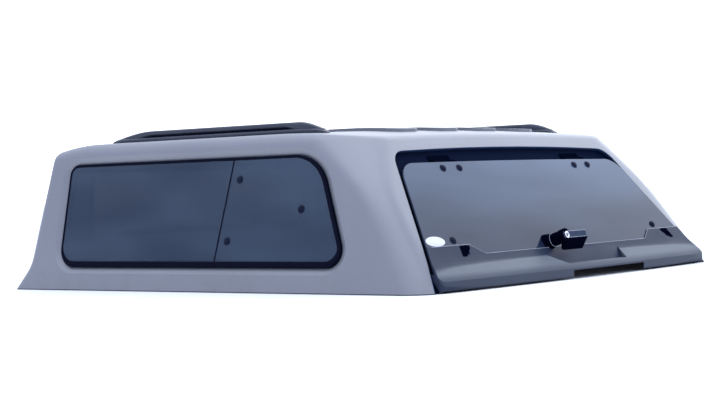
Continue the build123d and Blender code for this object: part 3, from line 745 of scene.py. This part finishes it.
def strip(hand):
    """The strip: it droops as the roof does, by the square of the way past the level part, and its
    ends dip and narrow by the square root of the way in."""
    low, high = box = corners_of(f"{hand}_rail_strip")
    tip = high[1] - STRIP_TIP
    y = stations((low[1], tip - 0.001), (0.04, 0.055), (low[1] + 0.05, high[1] - 0.08),
                 (12, 60, 14), 1.6)
    drop = (np.clip(LEVEL_REAR - y, 0, None)**2 / DROOP_REAR
            + np.clip(y - LEVEL_FRONT, 0, None)**2 / DROOP_FRONT)
    ends = np.sqrt(np.clip(np.minimum((y - low[1]) / ROUND_REAR, (tip - y) / ROUND_NOSE), 0.01, 1))
    top = high[2] - drop - STRIP_DIP * (1 - ends)
    bottom = high[2] - STRIP_THICK - drop
    half = (high[0] - low[0]) / 2 * (STRIP_NARROW + (1 - STRIP_NARROW) * ends)
    piece(f"{hand}_rail_foot", [bar_along(box, y, bottom, top, half)], "canopy", "rail_coat",
          [f"{hand}_rail_strip"])


for hand in ("left", "right"):
    rail(hand)
    filler(hand)
    strip(hand)

# %% [markdown]
# Window, lever and ear slots are all polygons with rounded corners. The Bevel modifier rounds every
# corner alike, and here each one has its own radius, so the arcs are worked out. At every point the
# outward direction is kept too, because a bead or a rim is then a step along it.

# %% Outline with rounded corners
def rounded_outline(corners, radii, per_corner=14):
    """Points and outward directions round a clockwise polygon: at each corner, centre + radius *
    direction, with the direction turning evenly from one side's outward to the next side's."""
    corners = np.array(corners, dtype=float)
    share = np.linspace(0, 1, per_corner)[:, None]
    spots, outward = [], []
    for place, radius in enumerate(radii):
        corner = corners[place]
        before = corners[place - 1] - corner
        after = corners[(place + 1) % len(corners)] - corner
        before, after = before / np.linalg.norm(before), after / np.linalg.norm(after)
        halfway = (before + after) / np.linalg.norm(before + after)
        opening = math.acos(float(before @ after)) / 2
        centre = corner + halfway * radius / math.sin(opening)
        first = np.array([before[1], -before[0]])
        first *= -np.sign(first @ halfway)
        last = np.array([after[1], -after[0]])
        last *= -np.sign(last @ halfway)
        spread = math.pi - 2 * opening
        arc = (np.sin((1 - share) * spread) * first + np.sin(share * spread) * last) / math.sin(spread)
        spots.append(centre + radius * arc)
        outward.append(arc)
    return np.vstack(spots), np.vstack(outward)


def thicken(spots, longest):
    """More points on a closed path, so that no face is needle thin: each span is cut into as many
    equal parts as longest fits into it, and a point is the span's start + share * span."""
    spans = np.roll(spots, -1, axis=0) - spots
    parts = np.maximum(1, (np.linalg.norm(spans, axis=1) / longest).astype(int))
    place = np.arange(parts.sum()) - np.repeat(np.cumsum(parts) - parts, parts)
    share = (place / np.repeat(parts, parts))[:, None]
    return np.repeat(spots, parts, axis=0) + share * np.repeat(spans, parts, axis=0)


print("a square gets", len(rounded_outline([(0, 0), (0, 1), (1, 1), (1, 0)], [0.1] * 4)[0]), "points")

# %% [markdown]
# A bead of rubber runs round each side window, flush with the glass. Its path is the window's own
# outline: four corners, each rounded with its own radius. A bevelled curve would give one width all
# round, and here the bead is widened below and behind, where its black also stands for painted
# shade in the window's recess. So every point is the path's point plus a step outwards, whose size
# depends on the way it faces, and a step off the glass.

# %% Window beads
HALF = 0.85
FRONT_TIP = 0.860
WINDOW_FOOT, WINDOW_HEAD = 0.077, 0.413
WINDOW = [(FRONT_TIP - 0.210, WINDOW_HEAD), (FRONT_TIP - 0.210, WINDOW_FOOT),
          (FRONT_TIP - 1.401, WINDOW_FOOT), (FRONT_TIP - 1.264, WINDOW_HEAD)]
WINDOW_RADII = (0.034, 0.065, 0.050, 0.140)
BEAD_HALF, BEAD_SHADE_BELOW, BEAD_SHADE_BEHIND, BEAD_HIGH, BEAD_SUNK = 0.0042, 0.0050, 0.0026, 0.0019, 0.0060


def on_side(hand, along, up, out):
    """Points given along, up and out from a leaning side: their sum."""
    sign = -1.0 if hand == "left" else 1.0
    rise = np.array([-sign * math.sin(LEAN), 0.0, math.cos(LEAN)])
    return (np.array([sign * HALF, 0.0, 0.0]) + np.multiply.outer(along, [0.0, 1.0, 0.0])
            + np.multiply.outer(up, rise) + np.multiply.outer(out, SIDE_OUT[hand]))


def bead(hand):
    """Path + outward * half * (cosine - 1) along the pane, and height * sine off it."""
    path, out = rounded_outline(WINDOW, WINDOW_RADII)
    both = thicken(np.hstack([path, out]), 0.05)
    path, out = both[:, :2], both[:, 2:]
    out /= np.linalg.norm(out, axis=1)[:, None]
    turn = np.linspace(0, 2 * math.pi, 12, endpoint=False)
    # Wider below and behind: the dark rubber there is partly painted shade in the recess.
    half = (BEAD_HALF + BEAD_SHADE_BELOW * np.clip(-out[:, 1], 0, 1)
            + BEAD_SHADE_BEHIND * np.clip(-out[:, 0], 0, 1))
    step = half[:, None] * (np.cos(turn) - 1)[None] - 0.0004
    spots = path[:, None] + out[:, None] * step[..., None]
    off = np.broadcast_to(BEAD_HIGH * np.sin(turn) - BEAD_SUNK, spots.shape[:2])
    points = on_side(hand, spots[..., 0], spots[..., 1], off)
    if hand == "left":
        points = points[:, ::-1]
    piece(f"{hand}_window_bead", [skin(points, round_u=True)], "canopy", "rubber")


for hand in ("left", "right"):
    bead(hand)

# %% [markdown]
# The handle is turned and moulded: a barrel with a groove and a thin pale ring painted as a
# highlight, and a lever whose section is a hook. A cube with a Subdivision Surface would look soft
# all over, and the real lever is crisp with small rounds. So the lever is its section carried along
# X and drawn in at both ends on a quarter circle. Its round head has the key hole in it.

# %% Lever
LEVER_LONG, LEVER_ROUND, LEVER_END, ROUND_ABOUT = 0.119, 0.0035, 0.007, 48
LEVER_SECTION = [(0.012, 0.0755), (-0.012, 0.0755), (-0.0415, 0.0425), (-0.0325, 0.0375),
                 (0.012, 0.0545)]
HEAD_PROFILE = [(0.0118, 0.0530), (0.0205, 0.0530), (0.0216, 0.0545), (0.0216, 0.0725),
                (0.0200, 0.0748), (0.0180, 0.0756), (0.0135, 0.0756), (0.0120, 0.0745)]


def on_handle(across, up, out):
    """Points given across, up and out from the foot of the handle's axis: their sum."""
    return (HANDLE + np.multiply.outer(across, ACROSS) + np.multiply.outer(up, HANDLE_UP)
            + np.multiply.outer(out, HANDLE_OUT))


def round_corners(corners, radius, per_corner=7):
    """A polygon with every corner rounded by the same radius."""
    return rounded_outline(corners, [radius] * len(corners), per_corner)


def lever():
    """Section - outward * inset, where the inset follows a quarter circle over the last 7 mm."""
    outline, outward = round_corners(LEVER_SECTION, LEVER_ROUND)
    ends = LEVER_END * (1 - np.cos(np.linspace(0, math.pi / 2, 7)))
    x = np.concatenate([ends, np.linspace(0.010, LEVER_LONG - 0.010, 20), LEVER_LONG - ends[::-1]])
    short = np.clip(LEVER_END - np.minimum(x, LEVER_LONG - x), 0, LEVER_END)
    inset = LEVER_END - np.sqrt(np.clip(LEVER_END**2 - short**2, 0, 1))
    inset = np.minimum(inset, LEVER_ROUND - 0.0002)
    rows = outline[None] - outward[None] * inset[:, None, None]
    across = np.broadcast_to(x[:, None], rows.shape[:2])
    return skin(on_handle(across, rows[..., 0], rows[..., 1]), caps=True)


head = skin(round_about(HANDLE, HANDLE_OUT, HEAD_PROFILE, ROUND_ABOUT), round_u=True)
piece("handle_lever", [lever(), head], "handle", "lever_black", ["handle_grip"])

# %% Barrel and ring
BARREL_PROFILE = [(0.0190, 0.0206), (0.0200, 0.0216), (0.0200, 0.0290), (0.0190, 0.0300),
                  (0.0190, 0.0320), (0.0200, 0.0330), (0.0200, 0.0500), (0.0188, 0.0519)]
RING_RADIUS, RING_OUT, RING_THICK = 0.0202, 0.0226, 0.0008


def turned(profile):
    """A profile of (radius, distance out) turned about the handle's axis and closed."""
    return skin(round_about(HANDLE, HANDLE_OUT, profile, ROUND_ABOUT), caps=True)


def ring(radius, out, thick):
    """A thin torus about the handle's axis: radius + thick * cosine, and out + thick * sine."""
    turn = np.linspace(0, 2 * math.pi, 10, endpoint=False)
    profile = np.stack([radius + thick * np.cos(turn), out + thick * np.sin(turn)], -1)
    return skin(round_about(HANDLE, HANDLE_OUT, profile, ROUND_ABOUT), round_u=True)


piece("handle_turned_barrel", [turned(BARREL_PROFILE)], "handle", "lever_black",
      ["handle_barrel"])
# A thin pale ring painted as a highlight.
piece("handle_ring", [ring(RING_RADIUS, RING_OUT, RING_THICK)], "handle", "edge_highlight")

# %% [markdown]
# The lightest lines, as round the lever's front face, are painted highlights: a thin pale bead
# along the edge. A mask in the material could draw them, but it would need to know where each edge
# runs. A thin bead along the edge is simpler, and it holds its shape in light and shade.

# %% Lever rim
RIM_FACE, RIM_OUT = 0.113, 0.0754
face = [(0.0115, 0.006), (0.0115, RIM_FACE), (-0.0105, RIM_FACE), (-0.0105, 0.006)]
edge, out = round_corners(face, 0.0045)
edge = thicken(np.hstack([edge, out]), 0.02)
turn = np.linspace(0, 2 * math.pi, 8, endpoint=False)
rim = edge[:, None, :2] - edge[:, None, 2:] * (0.0011 + 0.0008 * np.cos(turn))[None, :, None]
rim = on_handle(rim[..., 1], rim[..., 0], np.broadcast_to(RIM_OUT + 0.0006 * np.sin(turn), rim.shape[:2]))
piece("lever_rim", [skin(rim[:, ::-1], round_u=True)], "handle", "edge_highlight")

# %% [markdown]
# The lock's key turns in a small chrome disc with a slot. The disc is turned like the barrel, and
# the slot is a flat dark rounded bar a hair above it: painted shade in place of the hole. A hole
# cut with a Boolean would need clean-up, and at this size nobody sees how deep it is.

# %% Key disc
DISC_PROFILE = [(0.0112, 0.0530), (0.0112, 0.0752), (0.0104, 0.0768), (0.0086, 0.0771),
                (0.0082, 0.0764), (1e-5, 0.0764)]
KEY_HALF_WIDE, KEY_HALF_HIGH, KEY_OUT = 0.0009, 0.0048, np.array([0.0762, 0.0767])
piece("handle_key_disc", [turned(DISC_PROFILE)], "handle", "chrome", ["handle_key"])
# The dark bar is painted shade that stands for the keyhole.
across, up = rounded_section(24, 0.45, 0.45)
across, up, out = np.broadcast_arrays(KEY_HALF_WIDE * across, KEY_HALF_HIGH * up, KEY_OUT[:, None])
piece("key_slot", [skin(on_handle(across, up, out), caps=True)], "handle", "rubber")

# %% [markdown]
# Small things on the door: a blank oval label on the glass, a painted highlight along the top edge
# of the lip, and a dark sheet of painted shade in each of the two slots of the lip's ears. A single
# face could stand for the label, but it would have no edge to catch light. So a flat shape is its
# outline stacked at several heights, the last one a little smaller, and closed by a fan. The lip's
# highlight is one more pale bead.

# %% Label
LABEL_CENTRE, LABEL_WIDE, LABEL_HIGH = np.array([-0.6710, 0.1678]), 0.0450, 0.0172


def flat_shape(outline, centre, heights, shrink):
    """An outline on the glass stacked at heights: centre + (outline - centre) * shrink."""
    rows = centre + (outline - centre) * np.array(shrink)[:, None, None]
    out = np.broadcast_to(np.array(heights)[:, None], rows.shape[:2])
    return skin(on_glass(rows[..., 0], rows[..., 1], out), caps=True)


turn = np.linspace(0, 2 * math.pi, 64, endpoint=False)
oval = LABEL_CENTRE + np.stack([LABEL_WIDE * np.cos(turn), LABEL_HIGH * np.sin(turn)], -1)
label = flat_shape(oval, LABEL_CENTRE, (0.0, 0.0003, 0.0004), (1.0, 1.0, 0.985))
piece("glass_label", [label], "door", "label_white")

# %% Lip edge
BEAD_THICK, BEAD_OUT = 0.0010, 0.0036
EDGE_PATH = np.array([(-0.712, 0.1477), (-0.5275, 0.1477), (-0.4715, 0.1123), (0.4715, 0.1123),
                      (0.5275, 0.1477), (0.712, 0.1477)])
SPANS, PER_SPAN = len(EDGE_PATH) - 1, 12
share = np.linspace(0, SPANS, SPANS * PER_SPAN + 1)[:, None]
turn = np.linspace(0, 2 * math.pi, 10, endpoint=False)
across = np.interp(share, np.arange(SPANS + 1), EDGE_PATH[:, 0]) + 0 * turn
up = np.interp(share, np.arange(SPANS + 1), EDGE_PATH[:, 1]) + BEAD_THICK * np.cos(turn)
tube = on_glass(across, up, BEAD_OUT + BEAD_THICK * np.sin(turn) + 0 * share)
# A pale bead painted as a highlight along the lip's top edge.
piece("lip_edge_bead", [skin(tube, caps=True)], "door", "edge_highlight")

# %% Ear slots
SLOT_LOW, SLOT_HIGH = 0.088 / math.cos(RAKE), 0.1185 / math.cos(RAKE)
SLOTS, SLOT_ROUND = [(-0.553, -1), (0.627, 1)], 0.004
# Dark sheets in the slots: painted shade that stands for the slots' depth.
slot_shades = []
for x, way in SLOTS:
    corners = [(x - 0.024 * way, SLOT_HIGH), (x - 0.019 * way, SLOT_HIGH - 0.012),
               (x + 0.016 * way, SLOT_LOW), (x + 0.038 * way, SLOT_LOW), (x + 0.026 * way, SLOT_HIGH)]
    if way < 0:
        corners = corners[::-1]
    shape = round_corners(corners[::-1], SLOT_ROUND, 14)[0][::-1]
    slot_shades.append(flat_shape(shape, shape.mean(0), (0.0030, 0.0042, 0.0045), (1.0, 1.0, 0.95)))
piece("ear_slot_shade", slot_shades, "door", "lever_black")
